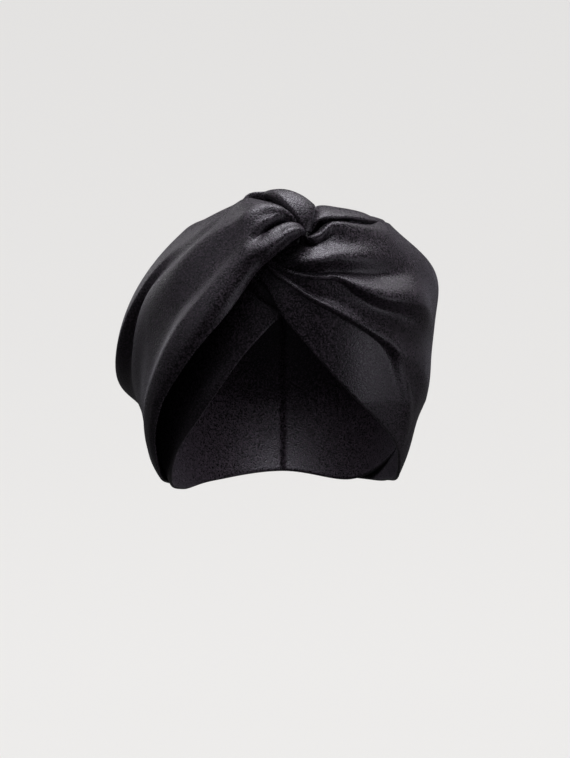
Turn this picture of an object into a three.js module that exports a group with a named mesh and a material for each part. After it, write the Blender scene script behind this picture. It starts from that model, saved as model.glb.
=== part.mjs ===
// Twist headband in black stretch velvet, millimetres, +Z up, front towards -Y.
//
// Two strips of doubled velvet are hooked through each other over the forehead. Each strip starts at
// the seam in the middle of the back, comes round one side of the head as its front limb, turns back
// at the knot, and returns inside the front limb to the same seam as its under limb.
//
// Every place on a strip is given from the head that the band is made for: turn is the angle round
// the head from the front (left is negative), rise is the angle above its widest line, both in
// degrees, and off is the stand-off from the head in millimetres. The origin is the middle of that head.

import * as THREE from 'three';

// Driving dimensions
const HEAD_HALF_WIDTH = 75;
const HEAD_HALF_LENGTH = 96;
const HEAD_HALF_HEIGHT = 105;
const JAW_TAPER = 0.2; // how much the head narrows below its widest line
const WALL = 1.8; // two layers of velvet with their pile
const SEAM_GAP = 0.3;
const BULGE_FULLNESS = 0.75; // below 1 makes the bulge between two edges broader
const STEP_LENGTH = 14; // longest facet along a strip
const MIN_STEPS = 2; // facets between two neighbouring sections, at least
const COLUMNS_PER_FOLD = 5; // facets across a strip from one fold to the next
const PROBE = 0.01; // step for measuring slopes, in sections and in fractions of the width

const VELVET = { color: 0x0b0b0d, roughness: 0.75, metalness: 0 };

// Sections across each strip, from the back seam along the front limb, through the knot and back
// along the under limb. low and high are the strip's two edges. bulge is how far the cloth stands
// out between them, and peak is where across the strip it stands out most.
const SECTION_COLUMNS = [
  'name', 'lowTurn', 'lowRise', 'lowOff', 'highTurn', 'highRise', 'highOff', 'bulge', 'peak',
];

const LEFT_SECTIONS = table(SECTION_COLUMNS, [
  ['seam', -180, -23, 6, -180, 30, 7, 2, 0.5],
  ['behind ear', -140, -25, 6, -138, 40, 10, 5, 0.55],
  ['side', -100, -26, 4, -100, 50, 16, 0, 0.6],
  ['temple', -77, -19.5, 6.5, -74, 52, 17, 3, 0.6],
  ['cheek', -62, -8, 7, -60, 53, 18, 7, 0.55],
  ['brow side', -45, 6, 8, -48, 53, 20, 8, 0.5],
  ['brow', -29.5, 18, 12, -38, 53, 23, 8, 0.5],
  ['front', -16, 28.5, 19, -27, 53.5, 27, 7, 0.5],
  ['knot entry', -7.5, 33, 25, -17.5, 56.5, 31, 7, 0.5],
  ['over the knot', -0.5, 37, 31, -1, 50.5, 32, 5, 0.5],
  ['near the pinch', 5, 40.5, 32, 6, 45.5, 32, 2, 0.5],
  ['pinch', 8, 43, 28.5, 8.5, 45, 29.5, 0, 0.5],
  ['dive', 7.5, 42.5, 18, 7.5, 45.5, 19, 0, 0.5],
  ['turn back', 10, 35, 9, 3.5, 40, 9, 0, 0.5],
  ['behind the knot', 5, 29, 5, -4, 41, 5, 0, 0.5],
  ['under apex', -1.5, 25.5, 2.5, -10, 42, 2, 0, 0.5],
  ['under brow', -13, 17, 1.5, -20, 42, 3, 0, 0.5],
  ['under front', -32.5, -1, 1.5, -37, 38, 5, 0, 0.5],
  ['under cheek', -59.5, -16.5, 2, -60, 33, 5, 0, 0.5],
  ['under temple', -77, -25, 3.5, -76, 28, 4, 0, 0.5],
  ['under side', -100, -29, 0.5, -100, 26, 2.5, 0, 0.5],
  ['under ear', -138, -27, 1, -138, 24, 3.5, 0, 0.5],
  ['under seam', -180, -24, 1.5, -180, 26, 3, 0, 0.5],
]);

const RIGHT_SECTIONS = table(SECTION_COLUMNS, [
  ['seam', 180, -23, 6, 180, 30, 7, 2, 0.5],
  ['behind ear', 140, -25, 6, 138, 40, 10, 5, 0.55],
  ['side', 100, -26, 0, 100, 50, 20, -1, 0.4],
  ['temple', 77, -22.5, 3.5, 76, 51, 22, -1, 0.4],
  ['cheek', 62.5, -14, 3, 62, 50, 24, 3, 0.65],
  ['brow side', 40.5, -4, 2.5, 55, 48, 26, 6, 0.65],
  ['brow', 27, 3.5, 2.5, 31, 49, 28, 6, 0.6],
  ['front', 15, 12.5, 3, 22, 48.5, 28, 5, 0.6],
  ['front inner', 6, 20, 4, 15, 47, 27, 4, 0.6],
  ['apex', 0.5, 24.5, 6, 10.5, 44, 26, 3, 0.5],
  ['under the left strip', -6, 31.5, 11, 6.5, 39.5, 23, 0, 0.5],
  ['arc low', -15.5, 39.5, 17, 3, 41.5, 21, 0, 0.5],
  ['arc left', -20.5, 48, 20, 2, 46, 22, 0, 0.5],
  ['arc up', -16.5, 57.5, 24, 4, 49, 26, 0, 0.5],
  ['over the top', 0, 55.5, 34, 8.5, 45.5, 27, 3, 0.5],
  ['over to the right', 10, 53.5, 32, 12.5, 46, 22, 3, 0.5],
  ['behind the top fold', 18, 53, 26, 16.5, 47, 19, 1, 0.5],
  ['upper strip', 29, 55, 24, 22, 45.5, 18, 0, 0.5],
  ['upper strip right', 52.5, 53.5, 23, 37.5, 40, 13, 0, 0.5],
  ['under temple', 74, 49, 14, 68, 16, 7, 0, 0.5],
  ['under side', 100, 46, 11, 98, 4, 2, 0, 0.5],
  ['under ear', 138, 36, 5, 138, -16, 1, 0, 0.5],
  ['under seam', 180, 26, 3, 180, -20, 1.5, 0, 0.5],
]);

// Folds that run along each front limb. upper and lower are the widths of a fold's two flanks as
// fractions of the strip, and lean tips its crest towards the low edge. path says where the crest
// is: at a section number, across the strip from its low edge, and rise in millimetres.
const PATH_COLUMNS = ['section', 'across', 'rise'];

const LEFT_FOLDS = [
  {
    name: 'roll over the under limb',
    upper: 0.12,
    lower: 0.14,
    lean: 0,
    path: table(PATH_COLUMNS, [
      [1, 0.08, 0], [2, 0.05, 1], [4, 0.11, 4], [5, 0.23, 4.3], [6, 0.25, 4.5], [7, 0.27, 4],
      [8, 0.2, 3.5], [9, 0.23, 3], [10, 0.22, 2.5], [11, 0.25, 0],
    ]),
  },
  {
    name: 'long middle fold',
    upper: 0.07,
    lower: 0.14,
    lean: -0.2,
    path: table(PATH_COLUMNS, [
      [0, 0.34, 0], [2, 0.25, 1], [3, 0.37, 3], [4, 0.53, 5], [5, 0.64, 5], [6, 0.67, 4.7],
      [7, 0.64, 4.3], [8, 0.7, 4], [9, 0.84, 3], [10, 0.8, 2], [11, 0.75, 0],
    ]),
  },
  {
    name: 'outer fold',
    upper: 0.24,
    lower: 0.06,
    lean: 0.3,
    path: table(PATH_COLUMNS, [
      [0, 0.72, 0], [1, 0.58, 3], [2, 0.43, 11], [3, 0.54, 8.5], [4, 0.73, 4], [6, 0.84, 1.5], [7, 0.93, 0],
    ]),
  },
];

// A groove drawn into the left strip where it is pulled into the pinch.
const PINCH_GROOVE = {
  name: 'pinch groove',
  upper: 0.1,
  lower: 0.08,
  lean: 0,
  path: table(PATH_COLUMNS, [
    [7, 0.32, 0], [8, 0.33, -2.5], [9, 0.42, -4.5], [10, 0.5, -3.5], [11, 0.5, 0],
  ]),
};

// The hollow at the left side, below the outer fold.
const LEFT_HOLLOW = {
  name: 'side hollow',
  upper: 0.1,
  lower: 0.12,
  lean: 0,
  path: table(PATH_COLUMNS, [
    [0.5, 0.3, 0], [1.5, 0.26, -2], [2, 0.24, -3], [3, 0.3, -2.5], [4, 0.35, 0],
  ]),
};

// The crease where the under limb of the left strip turns in below the knot. The cloth has turned
// over by then, so a rise towards the wearer's front is negative.
const UNDER_CREASE = {
  name: 'under limb crease',
  upper: 0.08,
  lower: 0.2,
  lean: 0,
  path: table(PATH_COLUMNS, [
    [14, 0.05, 0], [14.7, 0.06, -2], [15, 0.15, -3], [15.5, 0.45, -3], [16, 0.7, -3], [17, 0.85, -2],
    [18, 0.9, 0],
  ]),
};

const RIGHT_FOLDS = [
  {
    name: 'lowest pleat',
    upper: 0.12,
    lower: 0.04,
    lean: 0.4,
    path: table(PATH_COLUMNS, [
      [0, 0.3, 0], [2, 0.3, 0.5], [3, 0.33, 2], [4.3, 0.365, 3.5], [5.3, 0.375, 4.6], [6.5, 0.36, 5],
      [8, 0.33, 4.5], [9.4, 0.3, 2.5], [10, 0.26, 1.5], [11, 0.25, 0],
    ]),
  },
  {
    name: 'second pleat',
    upper: 0.07,
    lower: 0.04,
    lean: 0.3,
    path: table(PATH_COLUMNS, [
      [1, 0.5, 0], [2, 0.52, 1], [3, 0.6, 2], [4.5, 0.66, 3.2], [5.6, 0.62, 4], [6.6, 0.57, 4],
      [7.3, 0.53, 4], [8.3, 0.49, 3], [9.3, 0.42, 2], [10, 0.34, 1.5], [11, 0.3, 0],
    ]),
  },
  {
    name: 'broad pleat',
    upper: 0.11,
    lower: 0.06,
    lean: 0,
    path: table(PATH_COLUMNS, [
      [2, 0.7, 0], [4.5, 0.8, 1.5], [5.7, 0.8, 4], [6.6, 0.75, 5], [7.4, 0.71, 5.5], [8.5, 0.68, 4],
      [10, 0.62, 2], [11, 0.6, 0],
    ]),
  },
  {
    name: 'top pleat',
    upper: 0.05,
    lower: 0.04,
    lean: 0,
    path: table(PATH_COLUMNS, [
      [5, 0.93, 0], [6.7, 0.92, 2], [7.5, 0.85, 3], [8, 0.82, 3.5], [9, 0.88, 3], [10, 0.93, 2],
      [11, 0.93, 0],
    ]),
  },
];

// Swellings and a hollow on the right strip that cross its pleats.
const SHOULDER_SWELL = {
  name: 'shoulder',
  upper: 0.15,
  lower: 0.15,
  lean: 0,
  path: table(PATH_COLUMNS, [
    [0, 0.7, 0], [1, 0.73, 4], [2, 0.77, 13], [3, 0.78, 11], [4, 0.78, 6], [5.5, 0.78, 0],
  ]),
};
const RIGHT_HOLLOW = {
  name: 'side hollow',
  upper: 0.13,
  lower: 0.14,
  lean: 0,
  path: table(PATH_COLUMNS, [
    [0.5, 0.3, 0], [1.5, 0.27, -3], [2, 0.26, -4], [3, 0.26, -3], [4, 0.26, 0],
  ]),
};
const SIDE_BRANCH = {
  name: 'side branch',
  upper: 0.08,
  lower: 0.05,
  lean: 0,
  path: table(PATH_COLUMNS, [
    [1.5, 0.12, 0], [3.5, 0.14, 1.5], [4.6, 0.24, 2.4], [4.8, 0.29, 2.5], [5.3, 0.36, 0],
  ]),
};

// outward is the side of the strip's surface that faces away from the head along the front limb.
const LEFT_STRIP = {
  name: 'left_panel',
  sections: LEFT_SECTIONS,
  guides: LEFT_FOLDS,
  folds: [...LEFT_FOLDS, PINCH_GROOVE, LEFT_HOLLOW, UNDER_CREASE],
  outward: 1,
};
const RIGHT_STRIP = {
  name: 'right_panel',
  sections: RIGHT_SECTIONS,
  guides: RIGHT_FOLDS,
  folds: [...RIGHT_FOLDS, SHOULDER_SWELL, RIGHT_HOLLOW, SIDE_BRANCH],
  outward: -1,
};

// Turns rows of values into objects with named fields.
function table(columns, rows) {
  return rows.map((row) => Object.fromEntries(columns.map((column, i) => [column, row[i]])));
}

// The point of the head, or of the space around it, at two angles and a stand-off.
function headPoint({ turn, rise, off }) {
  const t = THREE.MathUtils.degToRad(turn);
  const r = THREE.MathUtils.degToRad(rise);
  const girth = 1 - JAW_TAPER * Math.max(0, -Math.sin(r));
  return new THREE.Vector3(
    (HEAD_HALF_WIDTH * girth + off) * Math.cos(r) * Math.sin(t),
    -(HEAD_HALF_LENGTH * girth + off) * Math.cos(r) * Math.cos(t),
    (HEAD_HALF_HEIGHT + off) * Math.sin(r),
  );
}

// A place across one section, from its low edge at 0 to its high edge at 1.
function placeInSection(section, across) {
  const { lerp } = THREE.MathUtils;
  const eased = Math.max(0, across) ** (Math.log(0.5) / Math.log(section.peak));
  const swell = Math.max(0, 4 * eased * (1 - eased)) ** BULGE_FULLNESS;
  return {
    turn: lerp(section.lowTurn, section.highTurn, across),
    rise: lerp(section.lowRise, section.highRise, across),
    off: lerp(section.lowOff, section.highOff, across) + section.bulge * swell,
  };
}

// The section that would follow the seam if the cloth went on round the back of the head.
function mirrored(section) {
  const fullTurn = 360 * Math.sign(section.lowTurn);
  return { ...section, lowTurn: fullTurn - section.lowTurn, highTurn: fullTurn - section.highTurn };
}

// Smooth curve through values at unevenly spaced knots.
function smoothThrough(knots, values, at) {
  const last = knots.length - 1;
  let i = 0;
  while (i < last - 1 && at > knots[i + 1]) i += 1;
  const slope = (k) => (values[k + 1] - values[k]) / (knots[k + 1] - knots[k]);
  const tangent = (k) => {
    if (k === 0) return slope(0);
    if (k === last) return slope(last - 1);
    const before = knots[k] - knots[k - 1];
    const after = knots[k + 1] - knots[k];
    return (after * slope(k - 1) + before * slope(k)) / (before + after);
  };
  const span = knots[i + 1] - knots[i];
  const x = THREE.MathUtils.clamp((at - knots[i]) / span, 0, 1);
  const rest = 1 - x;
  return (1 + 2 * x) * rest * rest * values[i] + x * rest * rest * span * tangent(i)
    + x * x * (3 - 2 * x) * values[i + 1] - x * x * rest * span * tangent(i + 1);
}

// Adds to a strip the sections mirrored past the seam and the distance along the strip of each section.
function measured(strip) {
  const { sections } = strip;
  const rows = [mirrored(sections[1]), ...sections, mirrored(sections[sections.length - 2])];
  const middles = rows.map((row) => headPoint(placeInSection(row, 0.5)));
  const knots = [0];
  for (let i = 1; i < rows.length; i += 1) knots.push(knots[i - 1] + middles[i].distanceTo(middles[i - 1]));
  return { ...strip, rows, knots };
}

// The smooth cloth surface without its folds, at a section number and a fraction across.
function plainPoint(strip, section, across) {
  const { rows, knots } = strip;
  const i = THREE.MathUtils.clamp(Math.floor(section), 0, strip.sections.length - 2) + 1;
  const distance = THREE.MathUtils.lerp(knots[i], knots[i + 1], section + 1 - i);
  const from = Math.max(0, i - 1);
  const nearby = rows.slice(from, i + 3).map((row) => placeInSection(row, across));
  const nearbyKnots = knots.slice(from, i + 3);
  const along = (field) => smoothThrough(nearbyKnots, nearby.map((place) => place[field]), distance);
  return headPoint({ turn: along('turn'), rise: along('rise'), off: along('off') });
}

// Slopes of a surface along and across the strip, and its unit normal.
function slopes(surface, strip, section, across) {
  const lastSection = strip.sections.length - 1;
  const s0 = Math.max(0, section - PROBE);
  const s1 = Math.min(lastSection, section + PROBE);
  const a0 = Math.max(0, across - PROBE);
  const a1 = Math.min(1, across + PROBE);
  const along = surface(strip, s1, across).sub(surface(strip, s0, across));
  const over = surface(strip, section, a1).sub(surface(strip, section, a0)).normalize();
  const normal = along.clone().cross(over).normalize().multiplyScalar(strip.outward);
  return { over, normal };
}

function foldCrest(fold, section, field) {
  return smoothThrough(fold.path.map((p) => p.section), fold.path.map((p) => p[field]), section);
}

// How high one fold stands at a place, zero past the ends of its path.
function foldHeight(fold, section, across) {
  const { path } = fold;
  if (section < path[0].section || section > path[path.length - 1].section) return 0;
  const beside = across - foldCrest(fold, section, 'across');
  const width = beside > 0 ? fold.upper : fold.lower;
  return foldCrest(fold, section, 'rise') * Math.exp(-((beside / width) ** 2));
}

// The cloth surface with its folds.
function foldedPoint(strip, section, across) {
  const point = plainPoint(strip, section, across);
  const { over, normal } = slopes(plainPoint, strip, section, across);
  for (const fold of strip.folds) {
    const height = foldHeight(fold, section, across);
    point.addScaledVector(normal, height).addScaledVector(over, -height * fold.lean);
  }
  return point;
}

// Section numbers of the facets' ends along a strip, closer together where sections are close.
function stationsAlong(strip) {
  const stations = [0];
  for (let i = 0; i < strip.sections.length - 1; i += 1) {
    const length = strip.knots[i + 2] - strip.knots[i + 1];
    const steps = Math.max(MIN_STEPS, Math.round(length / STEP_LENGTH));
    for (let step = 1; step <= steps; step += 1) stations.push(i + step / steps);
  }
  return stations;
}

// Fractions across a strip of the facets' edges, which follow the crests of its guiding folds.
function columnsAcross(strip, section) {
  const crests = strip.guides.map((fold) => foldCrest(fold, clampToPath(fold, section), 'across'));
  const marks = [0, ...crests, 1];
  const columns = [0];
  for (let i = 0; i < marks.length - 1; i += 1) {
    for (let c = 1; c <= COLUMNS_PER_FOLD; c += 1) {
      columns.push(THREE.MathUtils.lerp(marks[i], marks[i + 1], c / COLUMNS_PER_FOLD));
    }
  }
  return columns;
}

function clampToPath(fold, section) {
  return THREE.MathUtils.clamp(section, fold.path[0].section, fold.path[fold.path.length - 1].section);
}

// A closed wall of cloth around the folded surface: an outer and an inner face, two long edges and
// two ends at the seam, which stop half the seam gap short of the middle plane.
function clothWall(strip) {
  const stations = stationsAlong(strip);
  const positions = [];
  const lastStation = stations.length - 1;
  let columnCount = 0;
  for (const face of [1, -1]) {
    stations.forEach((section, row) => {
      const columns = columnsAcross(strip, section);
      columnCount = columns.length;
      for (const across of columns) {
        const { normal } = slopes(foldedPoint, strip, section, across);
        const point = foldedPoint(strip, section, across).addScaledVector(normal, face * WALL / 2);
        if (row === 0 || row === lastStation) point.x = -strip.outward * SEAM_GAP / 2;
        positions.push(point.x, point.y, point.z);
      }
    });
  }
  const geometry = new THREE.BufferGeometry();
  geometry.setAttribute('position', new THREE.Float32BufferAttribute(positions, 3));
  geometry.setIndex(wallTriangles(stations.length, columnCount, strip.outward));
  geometry.computeVertexNormals();
  return geometry;
}

// Triangles of a wall whose outer face's corners come first, row by row, and then its inner face's.
function wallTriangles(rowCount, columnCount, outward) {
  const lastRow = rowCount - 1;
  const lastColumn = columnCount - 1;
  const indices = [];
  const corner = (face, row, column) => (face * rowCount + row) * columnCount + column;
  const quad = (a, b, c, d) => {
    if (outward > 0) indices.push(a, b, c, a, c, d);
    else indices.push(a, c, b, a, d, c);
  };
  const cell = (face, row, column) => [
    corner(face, row, column),
    corner(face, row + 1, column),
    corner(face, row + 1, column + 1),
    corner(face, row, column + 1),
  ];
  const rim = (row, column, nextRow, nextColumn) => {
    quad(
      corner(0, row, column),
      corner(1, row, column),
      corner(1, nextRow, nextColumn),
      corner(0, nextRow, nextColumn),
    );
  };
  for (let row = 0; row < lastRow; row += 1) {
    for (let column = 0; column < lastColumn; column += 1) {
      quad(...cell(0, row, column));
      quad(...cell(1, row, column).reverse());
    }
    rim(row, 0, row + 1, 0);
    rim(row + 1, lastColumn, row, lastColumn);
  }
  for (let column = 0; column < lastColumn; column += 1) {
    rim(0, column + 1, 0, column);
    rim(lastRow, column, lastRow, column + 1);
  }
  return indices;
}

function panel(strip) {
  const mesh = new THREE.Mesh(clothWall(measured(strip)), new THREE.MeshStandardMaterial(VELVET));
  mesh.name = strip.name;
  return mesh;
}

const headband = new THREE.Group();
headband.name = 'twist_headband';
headband.add(panel(LEFT_STRIP), panel(RIGHT_STRIP));

export default headband;
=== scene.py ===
"""Twist headband in black stretch velvet, in metres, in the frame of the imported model.

Two strips of doubled velvet are hooked through each other over the forehead. Each strip starts at the
seam in the middle of the back, comes round one side as its front limb, turns back at the knot, and
returns inside the front limb to the same seam as its under limb.
"""
import math

import bpy
import numpy as np
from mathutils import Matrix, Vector


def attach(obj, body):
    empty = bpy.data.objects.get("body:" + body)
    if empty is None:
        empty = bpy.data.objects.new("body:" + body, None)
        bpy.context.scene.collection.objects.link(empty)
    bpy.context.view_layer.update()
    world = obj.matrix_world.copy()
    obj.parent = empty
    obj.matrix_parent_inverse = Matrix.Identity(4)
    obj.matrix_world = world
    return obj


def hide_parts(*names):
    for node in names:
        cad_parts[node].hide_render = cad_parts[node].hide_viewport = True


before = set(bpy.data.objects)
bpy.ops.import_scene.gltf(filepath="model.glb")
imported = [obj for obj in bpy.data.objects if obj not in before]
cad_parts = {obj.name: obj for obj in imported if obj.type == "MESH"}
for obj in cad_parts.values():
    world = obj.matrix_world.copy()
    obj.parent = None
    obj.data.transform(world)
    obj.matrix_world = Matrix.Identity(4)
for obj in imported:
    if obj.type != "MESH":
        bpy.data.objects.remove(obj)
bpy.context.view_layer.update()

MM = 0.001
FULL_TURN = 360.0
TINY = 1e-9

# The head that the band is made for, in millimetres
HEAD_HALF_WIDTH = 75.0
HEAD_HALF_LENGTH = 96.0
HEAD_HALF_HEIGHT = 105.0
JAW_TAPER = 0.2

# The cloth: its thickness in millimetres, and how full a bulge is, where less than 1 is fuller
WALL = 1.9
BULGE_FULLNESS = 0.75

# Mesh of a strip
ROWS_ALONG = 440
COLUMNS_PER_FOLD = 30
INNER_STEP = 3  # columns of the outer face for each one of the inner face
RIM_STEPS = 4  # points round each edge
CREST_CLUSTER = 0.6  # how far the columns gather at the folds, from 0 to 1
FINE_STEPS = 4000  # steps for placing the rows

# Sections across each strip: low edge, high edge (turn and rise in degrees, stand-off in millimetres),
# how far the cloth bulges between them, and where across the strip it bulges most.
LEFT_SECTIONS = [
    # name, low turn, rise, off, high turn, rise, off, bulge, peak
    ("seam", -180, -23, 6, -180, 32, 7, 2, 0.5),
    ("behind ear", -140, -25, 6, -138, 40, 10, 5, 0.55),
    ("side", -100, -26, 4, -100, 50, 16, 0, 0.6),
    ("temple", -67, -18, 8, -74, 52, 17, 1, 0.6),
    ("cheek", -52, -5.5, 11, -60, 53, 18, 3, 0.55),
    ("brow side", -37.7, 7.3, 15.5, -48, 53, 20, 3.2, 0.5),
    ("brow", -25.8, 18.2, 18, -38, 53, 23, 4, 0.5),
    ("front", -14.8, 28.4, 20.5, -27, 53.5, 27, 5.5, 0.45),
    ("knot entry", -7.2, 33.6, 24, -17.5, 54.4, 30.5, 8, 0.45),
    ("over the knot", -0.5, 38, 28, -1.4, 50.8, 29, 5, 0.45),
    ("near the pinch", 5, 41, 30, 5.6, 46.6, 29.5, 2, 0.45),
    ("pinch", 8.3, 42.8, 28, 8.6, 44.3, 28, 0, 0.5),
    ("dive", 8.6, 42.5, 18, 8.8, 44.5, 18, 0, 0.5),
    ("turn back", 10, 35, 9, 3.5, 40, 9, 0, 0.5),
    ("behind the knot", 5, 29, 5, -4, 41, 10, 0, 0.5),
    ("under apex", -1.5, 25.5, 2.5, -10, 42, 12, 0, 0.5),
    ("under brow", -13, 17, 1.5, -20, 43, 13, 0, 0.5),
    ("under front", -32.5, -1, 1.5, -37, 40, 10, 0, 0.5),
    ("under cheek", -59.5, -16.5, 2, -60, 33, 5, 0, 0.5),
    ("under temple", -77, -25, 3.5, -76, 28, 4, 0, 0.5),
    ("under side", -100, -29, 0.5, -100, 26, 2.5, 0, 0.5),
    ("under ear", -138, -27, 1, -138, 29, 3.5, 0, 0.5),
    ("under seam", -180, -24, 1.5, -180, 30.5, 3, 0, 0.5),
]

RIGHT_SECTIONS = [
    # name, low turn, rise, off, high turn, rise, off, bulge, peak
    ("seam", 180, -23, 6, 180, 32, 7, 2, 0.5),
    ("behind ear", 140, -25, 6, 138, 40, 10, 5, 0.55),
    ("side", 100, -26, 0, 100, 50, 20, -1, 0.4),
    ("temple", 77, -22.5, 3.5, 76, 51, 22, -1, 0.4),
    ("cheek", 62.5, -14, 3, 62, 50, 24, 1.5, 0.65),
    ("brow side", 40.5, -4, 2.5, 54, 49.3, 27, 2, 0.65),
    ("brow", 27, 3.5, 2.5, 32, 50.8, 28, 2.5, 0.65),
    ("front", 15, 12.5, 3, 22, 51.5, 26, 4, 0.68),
    ("front inner", 6, 20, 4, 15.5, 49.3, 23, 6, 0.7),
    ("apex", 0.5, 24.5, 6, 12.5, 48.5, 20, 4.5, 0.55),
    ("under the left strip", -6, 31.5, 11, 13, 47.5, 19, 2.5, 0.5),
    ("arc low", -15.5, 39.5, 17, 13, 47, 19, 0, 0.5),
    ("arc left", -23, 52, 23, 12, 46, 19, 0, 0.5),
    ("arc up", -15.8, 58.6, 29, 11, 46.5, 19, 0, 0.5),
    ("under the top fold", -9.6, 59.2, 28, 8, 45.5, 19, 0, 0.5),
    ("lip of the top fold", -9.7, 56.3, 29.8, 8.4, 44.6, 26, 6, 0.5),
    ("edge of the top fold", -9.2, 56.1, 31.2, 8.6, 44.5, 27.3, 5, 0.5),
    ("top fold", -7.5, 55.8, 32.4, 8.8, 44.5, 28, 5, 0.5),
    ("over the top", 0.5, 55.3, 34, 9.2, 43.9, 27.8, 4, 0.5),
    ("over to the right", 8.5, 53.6, 33, 9.9, 43.9, 27.5, 4, 0.5),
    ("right side of the top fold", 14, 51.4, 31, 11, 44.2, 27, 3, 0.5),
    ("crease beside the top fold", 15.5, 52.4, 27.5, 12.3, 44.8, 25, 0, 0.5),
    ("start of the upper strip", 19, 53, 27.5, 14.4, 45.8, 30, 1, 0.5),
    ("upper strip", 29.3, 52.8, 27, 24.7, 46.6, 32, 1, 0.5),
    ("upper strip right", 44.6, 51.7, 26, 38, 46.6, 31, 1, 0.5),
    ("end of the upper strip", 60, 53, 19, 53, 47.2, 26, 0, 0.5),
    ("under temple", 74, 49, 14, 68, 6, 4, 0, 0.5),
    ("under side", 100, 46, 11, 98, -14, 0, 0, 0.5),
    ("under ear", 138, 36, 5, 138, -26.5, 1, 0, 0.5),
    ("under seam", 180, 30.5, 3, 180, -24, 1.5, 0, 0.5),
]


def fold(lean, *path):
    """A fold along a strip: how far its crest leans to the low edge, and its path as rows of section
    number, place across, rise in millimetres and the widths of its upper and lower flanks."""
    return {"lean": lean, "path": np.array(path, float)}


# Folds that the mesh's columns follow, from the low edge up, and further folds that cross them.
# Each row: section number, place across, rise, upper flank, lower flank
LEFT_GUIDES = {
    "roll over the under limb": fold(
        0,
        (1, 0.08, 0, 0.1, 0.12), (2, 0.05, 1, 0.08, 0.12), (3.4, 0.06, 2.5, 0.06, 0.1),
        (4.4, 0.09, 4, 0.075, 0.25), (5.4, 0.165, 4.2, 0.08, 0.3), (6.2, 0.18, 3.8, 0.08, 0.3),
        (6.9, 0.195, 2.4, 0.09, 0.2), (7.6, 0.155, 2.2, 0.13, 0.08), (8.33, 0.095, 3, 0.09, 0.06),
        (8.76, 0.1, 3.4, 0.1, 0.06), (9.36, 0.13, 3.2, 0.13, 0.08), (10.4, 0.16, 1.5, 0.18, 0.15),
        (11, 0.3, 0, 0.15, 0.2), (14, 0.1, 0, 0.02, 0.05), (15, 0.15, 1, 0.02, 0.05),
        (15.5, 0.42, 1.2, 0.02, 0.05), (16, 0.66, 1.2, 0.02, 0.05), (17, 0.82, 1, 0.02, 0.05),
        (18, 0.88, 0, 0.02, 0.05)),
    "long middle fold": fold(
        -0.2,
        (0, 0.34, 0, 0.1, 0.12), (2, 0.3, 0.5, 0.08, 0.12), (2.78, 0.4, 2.5, 0.05, 0.12),
        (3.1, 0.475, 3.5, 0.05, 0.14), (3.5, 0.535, 4.5, 0.06, 0.16), (3.9, 0.56, 5, 0.075, 0.17),
        (4.45, 0.565, 5.3, 0.085, 0.17), (5.1, 0.565, 5.3, 0.09, 0.17), (5.8, 0.59, 5, 0.09, 0.16),
        (6.7, 0.6, 3.5, 0.09, 0.14), (7.7, 0.55, 1.5, 0.08, 0.12), (8.5, 0.6, 0, 0.1, 0.14),
        (9.2, 0.7, 0, 0.1, 0.14), (10.4, 0.8, 0, 0.1, 0.14), (14, 0.6, 0, 0.1, 0.1),
        (15.5, 0.7, 0, 0.1, 0.1), (16, 0.84, 0, 0.1, 0.1), (17, 0.92, 0, 0.1, 0.1),
        (18, 0.94, 0, 0.1, 0.1)),
    "outer fold": fold(
        0.3,
        (0, 0.72, 0, 0.24, 0.12), (1, 0.58, 3, 0.24, 0.12), (2, 0.43, 11.5, 0.24, 0.08),
        (2.5, 0.475, 11.2, 0.24, 0.055), (3, 0.575, 10, 0.24, 0.045), (3.5, 0.66, 7.2, 0.22, 0.05),
        (4, 0.73, 4.5, 0.2, 0.06), (6, 0.84, 1.5, 0.15, 0.08), (7, 0.93, 0, 0.1, 0.06),
        (10.4, 0.95, 0, 0.1, 0.1), (14, 0.9, 0, 0.1, 0.1), (16, 0.93, 0, 0.1, 0.1),
        (17, 0.965, 0, 0.1, 0.1), (18, 0.97, 0, 0.1, 0.1)),
}
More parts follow.
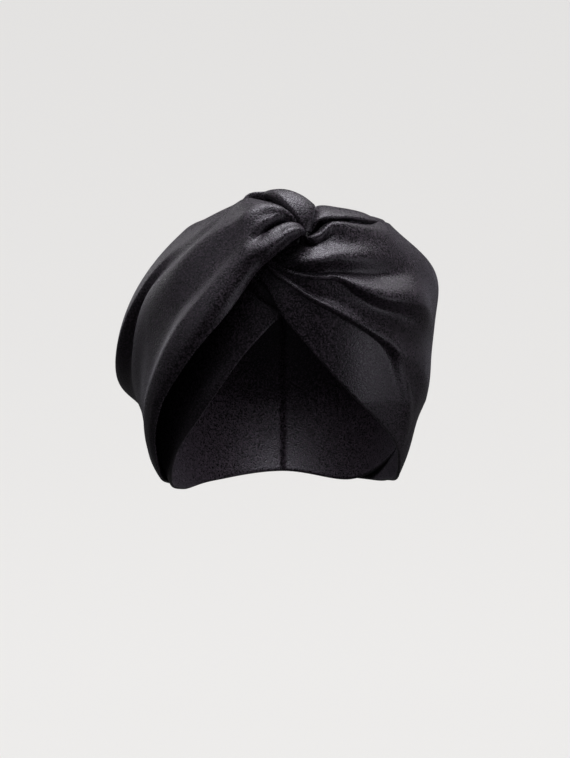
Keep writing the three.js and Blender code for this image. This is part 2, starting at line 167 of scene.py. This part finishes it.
LEFT_EXTRAS = {
    "roll into the pinch": fold(
        0.6,
        (7.6, 0.5, 0, 0.15, 0.12), (8.1, 0.6, 1.5, 0.15, 0.12), (8.6, 0.72, 2.5, 0.15, 0.12),
        (9.1, 0.82, 2.5, 0.15, 0.12), (9.8, 0.93, 1.2, 0.12, 0.1), (10.4, 1, 0, 0.1, 0.1)),
    "pinch groove": fold(
        0,
        (7.6, 0.22, 0, 0.08, 0.06), (8.1, 0.29, -2.5, 0.055, 0.08), (8.62, 0.41, -7, 0.04, 0.09),
        (9.12, 0.59, -8.5, 0.05, 0.12), (9.86, 0.77, -7, 0.06, 0.14), (10.4, 0.92, -3.5, 0.1, 0.16),
        (11, 1, 0, 0.14, 0.2)),
    "side hollow": fold(
        0,
        (0.5, 0.3, 0, 0.1, 0.12), (1.5, 0.26, -2, 0.1, 0.12), (2, 0.24, -3, 0.1, 0.12),
        (3, 0.3, -2.5, 0.1, 0.12), (4, 0.35, 0, 0.1, 0.12)),
    "dip beside the top fold": fold(
        0,
        (8.1, 1, 0, 0.06, 0.05), (8.5, 0.99, -3.5, 0.06, 0.06), (9, 0.96, -4, 0.06, 0.08),
        (9.6, 0.97, -3.5, 0.06, 0.08), (10.2, 1, 0, 0.06, 0.06)),
    "full low zone": fold(
        0,
        (2.6, 0.02, 0, 0.2, 0.03), (3.6, 0.02, 2.5, 0.2, 0.03), (4.8, 0.02, 3, 0.2, 0.03),
        (5.6, 0.02, 3, 0.2, 0.03), (6.4, 0.02, 2.5, 0.2, 0.035), (7.2, 0.03, 1.2, 0.2, 0.05),
        (8, 0.05, 0, 0.2, 0.06)),
    "edge turned under": fold(
        0,
        (5, 0, 0, 0.03, 0.03), (6.5, 0, -1, 0.035, 0.035), (8, 0, -2.5, 0.04, 0.04),
        (9, 0, 0, 0.05, 0.05)),
    "recess above the under limb": fold(
        0,
        (14, 0.3, 0, 0.2, 0.1), (15, 0.35, -2, 0.2, 0.1), (15.5, 0.6, -2.5, 0.2, 0.1),
        (16, 0.82, -2.5, 0.2, 0.1), (17, 0.95, -2, 0.2, 0.1), (18, 1, 0, 0.2, 0.1)),
}
RIGHT_GUIDES = {
    "lowest pleat": fold(
        0.4,
        (0, 0.3, 0, 0.15, 0.1), (2, 0.3, 0.5, 0.15, 0.1), (3, 0.33, 1.5, 0.14, 0.08),
        (4.4, 0.35, 3, 0.12, 0.07), (4.9, 0.345, 3.6, 0.09, 0.045), (5.4, 0.362, 4, 0.07, 0.022),
        (5.8, 0.37, 3.6, 0.055, 0.014), (6.5, 0.36, 3, 0.04, 0.012), (7.3, 0.335, 2.4, 0.02, 0.01),
        (8, 0.322, 2, 0.015, 0.01), (9.2, 0.289, 1.7, 0.012, 0.01), (10.1, 0.184, 1.3, 0.012, 0.01),
        (10.6, 0.13, 0, 0.012, 0.01)),
    "second pleat": fold(
        0.3,
        (1, 0.5, 0, 0.1, 0.1), (2, 0.55, 1, 0.1, 0.1), (3.5, 0.61, 2.5, 0.1, 0.08),
        (4.85, 0.585, 8.5, 0.095, 0.05), (5.6, 0.548, 8, 0.08, 0.035), (6.1, 0.545, 5, 0.055, 0.024),
        (6.7, 0.54, 2.2, 0.022, 0.014), (7.25, 0.502, 1.8, 0.012, 0.01), (7.9, 0.46, 1.6, 0.012, 0.01),
        (9.1, 0.402, 1.4, 0.012, 0.01), (10.1, 0.272, 1.1, 0.012, 0.01), (10.5, 0.18, 0, 0.012, 0.01)),
    "broad pleat": fold(
        0,
        (2, 0.72, 0, 0.1, 0.08), (4.5, 0.76, 0, 0.1, 0.07), (5.2, 0.745, 1.4, 0.1, 0.06),
        (5.7, 0.725, 3.4, 0.08, 0.045), (6.4, 0.667, 4.5, 0.08, 0.035), (7.2, 0.61, 5, 0.08, 0.03),
        (8, 0.552, 4.5, 0.09, 0.03), (9.3, 0.49, 3.5, 0.1, 0.03), (10, 0.38, 2, 0.1, 0.04),
        (10.6, 0.3, 0, 0.1, 0.06)),
    "top pleat": fold(
        0.2,
        (4.7, 0.9, 0, 0.06, 0.08), (5.9, 0.88, 3.5, 0.045, 0.09), (6.8, 0.854, 5, 0.04, 0.08),
        (7.36, 0.833, 4.3, 0.045, 0.05), (7.7, 0.774, 3, 0.05, 0.03), (8.07, 0.757, 2.5, 0.05, 0.018),
        (8.6, 0.78, 2.2, 0.04, 0.018), (9.2, 0.83, 1.8, 0.04, 0.018), (9.8, 0.88, 0, 0.04, 0.02)),
}
RIGHT_EXTRAS = {
    "shoulder": fold(
        0,
        (0, 0.7, 0, 0.15, 0.15), (1, 0.73, 4, 0.15, 0.15), (2, 0.77, 13, 0.15, 0.15),
        (3, 0.78, 11, 0.15, 0.15), (4, 0.78, 6, 0.15, 0.15), (5.5, 0.78, 0, 0.15, 0.15)),
    "side hollow": fold(
        0,
        (0.5, 0.3, 0, 0.13, 0.14), (1.5, 0.27, -3, 0.13, 0.14), (2, 0.26, -4, 0.13, 0.14),
        (3, 0.26, -3, 0.13, 0.14), (4, 0.26, 0, 0.13, 0.14)),
    "side branch": fold(
        0,
        (3.8, 0.06, 0, 0.06, 0.05), (4.34, 0.163, 1.8, 0.06, 0.05), (4.61, 0.23, 2.4, 0.06, 0.05),
        (4.87, 0.285, 2.4, 0.06, 0.04), (5.14, 0.343, 1.5, 0.06, 0.04), (5.4, 0.37, 0, 0.06, 0.04)),
    "valley under the top pleat": fold(
        0,
        (6.3, 0.82, 0, 0.03, 0.03), (7, 0.8, -1.5, 0.03, 0.03), (7.5, 0.765, -2, 0.03, 0.03),
        (8.1, 0.715, -2, 0.03, 0.03), (8.8, 0.745, -1.5, 0.03, 0.03), (9.4, 0.79, 0, 0.03, 0.03)),
    "pocket behind the top pleat": fold(
        0,
        (5.3, 0.97, 0, 0.06, 0.04), (6.3, 0.95, -3, 0.06, 0.04), (7.3, 0.92, -5, 0.07, 0.045),
        (7.8, 0.88, -5.5, 0.08, 0.045), (8.4, 0.87, -6, 0.08, 0.05), (9, 0.9, -4, 0.08, 0.04),
        (9.6, 0.93, 0, 0.06, 0.04)),
    "pocket behind the left strip": fold(
        0,
        (12.3, 0.15, 0, 0.1, 0.1), (12.7, 0.15, -5, 0.1, 0.1), (13.1, 0.16, -6, 0.1, 0.1),
        (13.6, 0.16, -5, 0.1, 0.1), (14, 0.16, 0, 0.1, 0.1)),
    "valley above the second pleat": fold(
        0,
        (4.3, 0.76, 0, 0.06, 0.05), (5, 0.7, -2, 0.06, 0.05), (5.6, 0.65, -2.5, 0.045, 0.045),
        (6.3, 0.61, -2, 0.04, 0.03), (6.9, 0.56, -1.8, 0.04, 0.02), (7.5, 0.515, -2, 0.035, 0.018),
        (8.3, 0.473, -2, 0.035, 0.018), (9.1, 0.43, -2, 0.035, 0.018), (10, 0.31, -1.2, 0.035, 0.018),
        (10.5, 0.21, 0, 0.035, 0.018)),
    "valley above the lowest pleat": fold(
        0,
        (5.6, 0.44, 0, 0.08, 0.03), (6.5, 0.395, -1.5, 0.08, 0.025), (7.3, 0.367, -2.2, 0.07, 0.022),
        (8, 0.35, -2.2, 0.06, 0.02), (9.2, 0.317, -2, 0.05, 0.02), (10, 0.23, -1, 0.05, 0.02),
        (10.5, 0.17, 0, 0.05, 0.02)),
}

# How close together a strip's rows lie. Each entry: section number, closeness
LEFT_ROWS = [(0, 1), (2, 1.5), (4, 3), (8, 5), (11, 6), (13, 3), (14.5, 4), (17, 4), (19, 1), (22, 1)]
RIGHT_ROWS = [
    (0, 1), (2, 1.5), (4, 3), (7, 5), (10, 4), (12, 2), (13.5, 4), (14.2, 10), (16.5, 10),
    (18, 6), (22, 6), (24, 3), (25, 1.5), (27, 1)]

# outward is the side of the strip's surface that faces away from the head along the front limb
LEFT_STRIP = {
    "sections": LEFT_SECTIONS,
    "guides": list(LEFT_GUIDES.values()),
    "folds": [*LEFT_GUIDES.values(), *LEFT_EXTRAS.values()],
    "rows": LEFT_ROWS,
    "outward": 1,
}
RIGHT_STRIP = {
    "sections": RIGHT_SECTIONS,
    "guides": list(RIGHT_GUIDES.values()),
    "folds": [*RIGHT_GUIDES.values(), *RIGHT_EXTRAS.values()],
    "rows": RIGHT_ROWS,
    "outward": -1,
}


def head_points(place):
    """Points around the head, in millimetres, from rows of turn, rise and stand-off."""
    turn, rise, off = np.moveaxis(place, -1, 0)
    turn, rise = np.radians(turn), np.radians(rise)
    girth = 1 - JAW_TAPER * np.maximum(0, -np.sin(rise))
    return np.stack([
        (HEAD_HALF_WIDTH * girth + off) * np.cos(rise) * np.sin(turn),
        -(HEAD_HALF_LENGTH * girth + off) * np.cos(rise) * np.cos(turn),
        (HEAD_HALF_HEIGHT + off) * np.sin(rise),
    ], -1)


def smooth_through(knots, values, at):
    """Smooth curve through values at uneven knots. Each value may be a whole array."""
    steps = np.diff(knots)
    shape = (-1,) + (1,) * (values.ndim - 1)
    slopes = np.diff(values, axis=0) / steps.reshape(shape)
    before, after = steps[:-1].reshape(shape), steps[1:].reshape(shape)
    inner = (after * slopes[:-1] + before * slopes[1:]) / (before + after)
    tangents = np.concatenate([slopes[:1], inner, slopes[-1:]])
    i = np.clip(np.searchsorted(knots, at, side="right") - 1, 0, len(knots) - 2)
    span = steps[i].reshape(shape)
    x = np.clip((at - knots[i]) / steps[i], 0, 1).reshape(shape)
    rest = 1 - x
    return ((1 + 2 * x) * rest ** 2 * values[i] + x * rest ** 2 * span * tangents[i]
            + x ** 2 * (3 - 2 * x) * values[i + 1] - x ** 2 * rest * span * tangents[i + 1])


def section_places(section, across):
    """Turn, rise and stand-off at fractions across one section, which bulges most at its peak."""
    _, *low_high, bulge, peak = section
    low, high = np.array(low_high[:3], float), np.array(low_high[3:], float)
    places = low + (high - low) * across[..., None]
    eased = np.clip(across, 0, 1) ** (math.log(0.5) / math.log(peak))
    places[..., 2] += bulge * np.maximum(0, 4 * eased * (1 - eased)) ** BULGE_FULLNESS
    return places


def mirrored(section):
    """The section that would follow the seam if the cloth went on round the back of the head."""
    name, low_turn, low_rise, low_off, high_turn, high_rise, high_off, bulge, peak = section
    round_head = math.copysign(FULL_TURN, low_turn)
    low = (round_head - low_turn, low_rise, low_off)
    high = (round_head - high_turn, high_rise, high_off)
    return (name, *low, *high, bulge, peak)


def distances_along(rows):
    """Distance along the middle of a strip of each of its sections."""
    middles = np.array([head_points(section_places(row, np.array(0.5))) for row in rows])
    return np.concatenate([[0], np.cumsum(np.linalg.norm(np.diff(middles, axis=0), axis=1))])


def crest(path, column, numbers):
    """One column of a fold's path, at section numbers, held at its end values past its ends."""
    return smooth_through(path[:, 0], path[:, column], np.clip(numbers, path[0, 0], path[-1, 0]))


def columns_across(strip, numbers):
    """Fractions across the strip for each row, gathered towards the crests of its guiding folds."""
    crests = [crest(guide["path"], 1, numbers) for guide in strip["guides"]]
    marks = np.stack([np.zeros_like(numbers), *crests, np.ones_like(numbers)], 1)
    even = np.linspace(0, 1, COLUMNS_PER_FOLD + 1)[1:]
    part = (1 - CREST_CLUSTER) * even + CREST_CLUSTER * 0.5 * (1 - np.cos(math.pi * even))
    between = marks[:, :-1, None] + np.diff(marks)[..., None] * part
    return np.concatenate([marks[:, :1], between.reshape(len(numbers), -1)], 1)


def plain_surface(strip, numbers, across):
    """The cloth without its folds: a grid of points for section numbers and fractions across."""
    sections = strip["sections"]
    rows = [mirrored(sections[1]), *sections, mirrored(sections[-2])]
    knots = distances_along(rows)
    at = np.interp(numbers + 1, np.arange(len(rows)), knots)
    places = np.stack([section_places(row, across) for row in rows])
    i = np.clip(np.searchsorted(knots, at, side="right") - 1, 0, len(knots) - 2)
    grid = np.empty(across.shape + (3,))
    # Only the four sections nearest to a row shape it
    for r in range(len(numbers)):
        first = max(0, i[r] - 1)
        near = slice(first, min(len(rows), i[r] + 3))
        grid[r] = smooth_through(knots[near], places[near, r], at[r:r + 1])[0]
    return head_points(grid)


def unit(vectors):
    """The same vectors with length 1."""
    return vectors / np.maximum(np.linalg.norm(vectors, axis=-1, keepdims=True), TINY)


def grid_slopes(grid, outward):
    """Unit vectors across the strip and out of its surface."""
    along = unit(np.gradient(grid, axis=0))
    over = unit(np.gradient(grid, axis=1))
    return over, unit(np.cross(along, over)) * outward


def folded_surface(strip, numbers, across):
    """The cloth with its folds."""
    grid = plain_surface(strip, numbers, across)
    over, normal = grid_slopes(grid, strip["outward"])
    height = np.zeros(across.shape)
    lean = np.zeros(across.shape)
    for item in strip["folds"]:
        path = item["path"]
        inside = (numbers >= path[0, 0]) & (numbers <= path[-1, 0])
        place, high, upper, lower = (crest(path, column, numbers)[:, None] for column in range(1, 5))
        beside = across - place
        width = np.where(beside > 0, upper, lower)
        rise = high * inside[:, None] * np.exp(-(beside / width) ** 2)
        height += rise
        lean += rise * item["lean"]
    return grid + normal * height[..., None] - over * lean[..., None]


def row_numbers(strip):
    """Section numbers of the mesh's rows, closer together where the strip's table says so."""
    count = len(strip["sections"])
    knots = distances_along(strip["sections"])
    fine = np.linspace(0, count - 1, FINE_STEPS)
    distance = np.interp(fine, np.arange(count), knots)
    closeness = np.interp(fine, *np.array(strip["rows"], float).T)
    weight = np.cumsum(np.gradient(distance) * closeness)
    weight = (weight - weight[0]) / (weight[-1] - weight[0])
    return np.interp(np.linspace(0, 1, ROWS_ALONG), weight, fine)


def cloth_wall(strip):
    """Rings round the cloth's thickness, one for each row.

    A ring goes along the outer face, round the high edge, back along the inner face and round the low edge.
    """
    numbers = row_numbers(strip)
    across = columns_across(strip, numbers)
    middle = folded_surface(strip, numbers, across)
    over, normal = grid_slopes(middle, strip["outward"])
    half = WALL / 2
    outer, inner = middle + normal * half, middle - normal * half
    angles = np.linspace(0, math.pi, RIM_STEPS + 2)[1:-1]

    def rim(column, side):
        turns = [normal[:, column] * math.cos(a) + side * over[:, column] * math.sin(a) for a in angles]
        return np.stack([middle[:, column] + half * turn for turn in turns], 1)

    inner = inner[:, ::INNER_STEP]
    rings = np.concatenate([outer, rim(-1, 1), inner[:, ::-1], rim(0, -1)[:, ::-1]], 1)
    # Both ends lie in the plane of the seam, at the middle of the back
    rings[[0, -1], :, 0] = 0
    return rings


def make_panel(name, strip):
    """One strip as a closed mesh, with a cap at each end."""
    rings = cloth_wall(strip)
    rows, around = rings.shape[:2]
    vertex = np.arange(rows * around).reshape(rows, around)
    ahead = np.roll(vertex, -1, axis=1)
    walls = np.stack([vertex[:-1], vertex[1:], ahead[1:], ahead[:-1]], -1).reshape(-1, 4)
    faces = [*walls.tolist(), vertex[0].tolist(), vertex[-1, ::-1].tolist()]
    if strip["outward"] < 0:
        faces = [face[::-1] for face in faces]
    mesh = bpy.data.meshes.new(name)
    mesh.from_pydata((rings.reshape(-1, 3) * MM).tolist(), [], faces)
    mesh.validate()
    mesh.shade_smooth()
    piece = bpy.data.objects.new(name, mesh)
    bpy.context.collection.objects.link(piece)
    return piece


class Nodes:
    """Short helper for building a material's node tree."""

    def __init__(self, tree):
        self.tree = tree

    def add(self, kind, **inputs):
        """A new node with its inputs set. An underscore stands for a space in an input's name."""
        node = self.tree.nodes.new(kind)
        for key, value in inputs.items():
            node.inputs[key.replace("_", " ")].default_value = value
        return node

    def link(self, start, end):
        self.tree.links.new(start, end)


# Black velvet. Its pile stands in tufts, about a thousand to the metre. Its base colour keeps the pile's
# own dark purple tone and paints shade between the tufts and a highlight at their tips
VELVET_SHINE = {
    "Specular IOR Level": 0.33,
    "Specular Tint": (0.9, 0.86, 1, 1),
    "Sheen Weight": 0.12,
    "Sheen Roughness": 0.35,
    "Sheen Tint": (0.6, 0.58, 0.7, 1),
}
TUFTS = {"Scale": 1000.0, "Detail": 2.0, "Roughness": 0.7}
# Base colours of the tufts: the velvet's dark purple tone, with painted shade between the tufts and a
# painted highlight at their tips
TUFT_TONE_AND_PAINTED_SHADE = (0.002, 0.0017, 0.0021, 1)
TUFT_TONE_AND_PAINTED_HIGHLIGHT = (0.044, 0.0315, 0.045, 1)
TUFT_TONE_AND_PAINTED_LIGHT_RANGE = {"From_Min": 0.46, "From_Max": 0.66}
TUFT_ROUGHNESS = {"From_Min": 0.4, "From_Max": 0.62, "To_Min": 0.25, "To_Max": 0.55}
TUFT_RELIEF = {"Strength": 0.7, "Distance": 0.0005}


def velvet_material():
    """Black velvet with a soft shine and the fine grain of its pile, whose base colour paints shade between
    the tufts and a highlight at their tips.
    """
    material = bpy.data.materials.new("black_velvet")
    material.use_nodes = True
    nodes = Nodes(material.node_tree)
    shader = material.node_tree.nodes["Principled BSDF"]
    for socket, value in VELVET_SHINE.items():
        shader.inputs[socket].default_value = value

    place = nodes.add("ShaderNodeTexCoord")
    tufts = nodes.add("ShaderNodeTexNoise", **TUFTS)
    nodes.link(place.outputs["Object"], tufts.inputs["Vector"])

    # Painted light: the base colour runs from painted shade in the hollows between the tufts to a painted
    # highlight at their tips, following the same noise as their relief
    lit = nodes.add("ShaderNodeMapRange", **TUFT_TONE_AND_PAINTED_LIGHT_RANGE)
    nodes.link(tufts.outputs["Fac"], lit.inputs["Value"])
    tone = nodes.add("ShaderNodeMix")
    tone.data_type = "RGBA"
    tone.inputs["A"].default_value = TUFT_TONE_AND_PAINTED_SHADE
    tone.inputs["B"].default_value = TUFT_TONE_AND_PAINTED_HIGHLIGHT
    nodes.link(lit.outputs["Result"], tone.inputs["Factor"])
    nodes.link(tone.outputs["Result"], shader.inputs["Base Color"])

    gloss = nodes.add("ShaderNodeMapRange", **TUFT_ROUGHNESS)
    nodes.link(tufts.outputs["Fac"], gloss.inputs["Value"])
    nodes.link(gloss.outputs["Result"], shader.inputs["Roughness"])

    relief = nodes.add("ShaderNodeBump", **TUFT_RELIEF)
    nodes.link(tufts.outputs["Fac"], relief.inputs["Height"])
    nodes.link(relief.outputs["Normal"], shader.inputs["Normal"])
    return material


# Pale floor that rises far away into a bowl, so no horizon shows, in metres
FLOOR_Z = -0.75
BOWL_MIDDLE = 0.05
BOWL_FLAT = 4.0
BOWL_RADIUS = 9.0
BOWL_HEIGHT = 5.0
BOWL_RINGS = 40
BOWL_SIDES = 96
FLOOR_TONE = (0.82, 0.81, 0.80, 1)
FLOOR_ROUGHNESS = 0.9
FLOOR_GLOW = 0.75
BACKDROP_TONE = (0.85, 0.84, 0.83, 1)


def floor_mesh():
    """Rings of points from the middle of the floor out to the rim of the bowl."""
    radii = np.linspace(BOWL_MIDDLE, BOWL_RADIUS, BOWL_RINGS)
    climb = np.clip((radii - BOWL_FLAT) / (BOWL_RADIUS - BOWL_FLAT), 0, 1)
    heights = FLOOR_Z + BOWL_HEIGHT * climb ** 2
    angles = np.linspace(0, 2 * math.pi, BOWL_SIDES, endpoint=False)
    points = [(r * math.cos(a), r * math.sin(a), z) for r, z in zip(radii, heights) for a in angles]
    faces = [list(range(BOWL_SIDES))]
    for ring in range(BOWL_RINGS - 1):
        inner, outer = ring * BOWL_SIDES, (ring + 1) * BOWL_SIDES
        for side in range(BOWL_SIDES):
            beside = (side + 1) % BOWL_SIDES
            faces.append([inner + side, outer + side, outer + beside, inner + beside])
    mesh = bpy.data.meshes.new("floor")
    mesh.from_pydata(points, [], faces)
    mesh.shade_smooth()
    return mesh


def floor_material():
    """Plain pale surface, partly evened out by a glow of the backdrop's tone."""
    material = bpy.data.materials.new("pale_floor")
    material.use_nodes = True
    nodes = Nodes(material.node_tree)
    shader = material.node_tree.nodes["Principled BSDF"]
    shader.inputs["Base Color"].default_value = FLOOR_TONE
    shader.inputs["Roughness"].default_value = FLOOR_ROUGHNESS
    glow = nodes.add("ShaderNodeEmission", Color=BACKDROP_TONE)
    rays = nodes.add("ShaderNodeLightPath")
    share = nodes.add("ShaderNodeMath")
    share.operation = "MULTIPLY"
    share.inputs[1].default_value = FLOOR_GLOW
    nodes.link(rays.outputs["Is Camera Ray"], share.inputs[0])
    mix = nodes.add("ShaderNodeMixShader")
    nodes.link(share.outputs["Value"], mix.inputs["Fac"])
    nodes.link(shader.outputs["BSDF"], mix.inputs[1])
    nodes.link(glow.outputs["Emission"], mix.inputs[2])
    nodes.link(mix.outputs["Shader"], material.node_tree.nodes["Material Output"].inputs["Surface"])
    return material


def make_floor():
    """The floor, which isn't part of the object."""
    floor = bpy.data.objects.new("floor", floor_mesh())
    floor.data.materials.append(floor_material())
    # The floor sends no light back up to the cloth
    floor.visible_diffuse = False
    floor.visible_glossy = False
    bpy.context.collection.objects.link(floor)


# Light of the room by height: -1 is straight below, 0 level and 1 straight above
ROOM_LIGHT = [(-1.0, 0.04), (0.0, 0.08), (0.6, 0.08), (0.84, 0.4), (0.93, 3.0), (1.0, 6.0)]


def make_world():
    """A pale room whose light comes mostly from above."""
    world = bpy.data.worlds.new("pale_room")
    world.use_nodes = True
    nodes = Nodes(world.node_tree)
    room = world.node_tree.nodes["Background"]
    output = world.node_tree.nodes["World Output"]
    place = nodes.add("ShaderNodeTexCoord")
    split = nodes.add("ShaderNodeSeparateXYZ")
    nodes.link(place.outputs["Generated"], split.inputs["Vector"])
    ramp = nodes.add("ShaderNodeValToRGB")
    steps = ramp.color_ramp.elements
    while len(steps) < len(ROOM_LIGHT):
        steps.new(1.0)
    for step, (level, light) in zip(steps, ROOM_LIGHT):
        step.position = 0.5 + 0.5 * level
        step.color = (light, light, light, 1)
    height = nodes.add("ShaderNodeMapRange", From_Min=-1.0, From_Max=1.0)
    nodes.link(split.outputs["Z"], height.inputs["Value"])
    nodes.link(height.outputs["Result"], ramp.inputs["Fac"])
    nodes.link(ramp.outputs["Color"], room.inputs["Color"])
    backdrop = nodes.add("ShaderNodeBackground", Color=BACKDROP_TONE)
    rays = nodes.add("ShaderNodeLightPath")
    mix = nodes.add("ShaderNodeMixShader")
    nodes.link(rays.outputs["Is Camera Ray"], mix.inputs["Fac"])
    nodes.link(room.outputs["Background"], mix.inputs[1])
    nodes.link(backdrop.outputs["Background"], mix.inputs[2])
    nodes.link(mix.outputs["Shader"], output.inputs["Surface"])
    bpy.context.scene.world = world


# Square soft lights, in metres and watts, all aimed at one point in the band
LIGHT_TARGET = (0, 0, 0.04)
LIGHTS = [
    # name, place, size, watts
    ("key", (0.15, -0.1, 1.7), 0.8, 22.0),
    ("left high", (-0.95, 0.5, 1.35), 0.6, 1.0),
    ("left back", (-1.0, 1.05, 0.7), 0.8, 2.4),
    ("left front", (-1.28, -0.74, 0.64), 0.6, 2.6),
    ("right back", (0.75, 0.75, 1.3), 0.5, 2.6),
    ("right", (1.4, -0.7, -0.25), 1.0, 8.0),
]


def make_lights():
    """The studio's soft lights."""
    for name, place, size, watts in LIGHTS:
        data = bpy.data.lights.new(name, "AREA")
        data.size = size
        data.energy = watts
        light = bpy.data.objects.new(name, data)
        light.location = place
        light.rotation_euler = (Vector(LIGHT_TARGET) - Vector(place)).to_track_quat("-Z", "Y").to_euler()
        bpy.context.collection.objects.link(light)


# The photograph's view, level and straight at the front: place in metres, focal length and height of the
# picture in pixels, and size of the sensor in millimetres
CAMERA_PLACE = (0.00115, -1.3, 0.0121)
FOCAL_PIXELS = 2255.0
FRAME_HEIGHT = 758
SENSOR = 36.0


def make_camera():
    """A level camera that looks along +Y."""
    data = bpy.data.cameras.new("camera")
    data.sensor_fit = "AUTO"
    data.sensor_width = SENSOR
    data.lens = SENSOR * FOCAL_PIXELS / FRAME_HEIGHT
    camera = bpy.data.objects.new("camera", data)
    camera.location = CAMERA_PLACE
    camera.rotation_euler = (math.pi / 2, 0, 0)
    bpy.context.collection.objects.link(camera)
    bpy.context.scene.camera = camera


bpy.context.scene.view_settings.view_transform = "Standard"
make_camera()
make_world()
make_lights()
make_floor()

velvet = velvet_material()
for name, node, strip in (
    ("left_velvet", "left_panel", LEFT_STRIP),
    ("right_velvet", "right_panel", RIGHT_STRIP),
):
    piece = make_panel(name, strip)
    piece.data.materials.append(velvet)
    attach(piece, "root")
    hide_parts(node)
